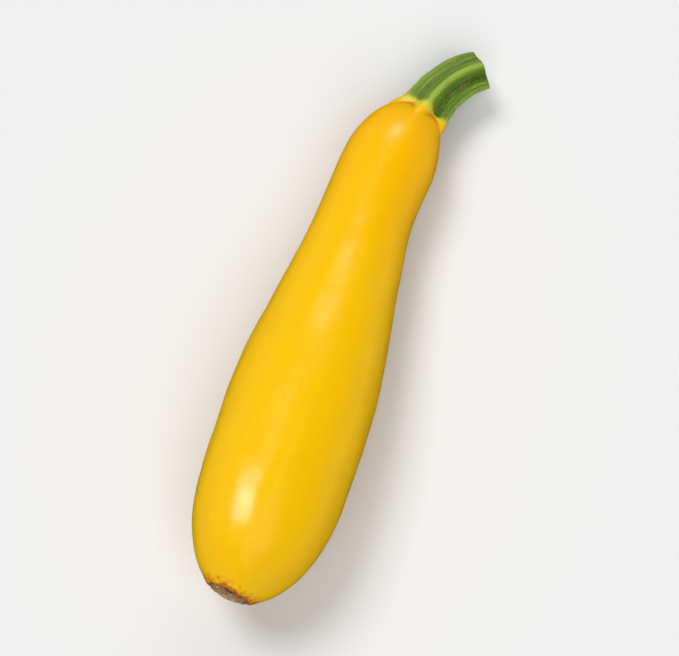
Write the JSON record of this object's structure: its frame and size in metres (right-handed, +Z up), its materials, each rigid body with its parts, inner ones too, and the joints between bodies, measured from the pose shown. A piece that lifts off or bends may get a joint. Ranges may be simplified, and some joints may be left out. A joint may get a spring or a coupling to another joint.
{
  "type": "yellow squash",
  "caption": "Yellow summer squash, as picked: slender neck, full belly and faint lobes, with a bent, ridged green stem, cut through, and a corky blossom scar. Lies on its side.",
  "frame": {"origin": "on the surface it lies on, in the middle of the flat spot under the belly", "axes": "+X along the fruit towards the stem, +Z up, and the stem bends towards -Y"},
  "size_m": [0.2233, 0.0544, 0.0555],
  "materials": {
    "yellow_skin": "satin",
    "green_stem": "matte",
    "brown_cork": "matte"
  },
  "bodies": {
    "root": {"fruit": "yellow_skin", "stem": "green_stem", "blossom_scar": "brown_cork"}
  },
  "joints": []
}
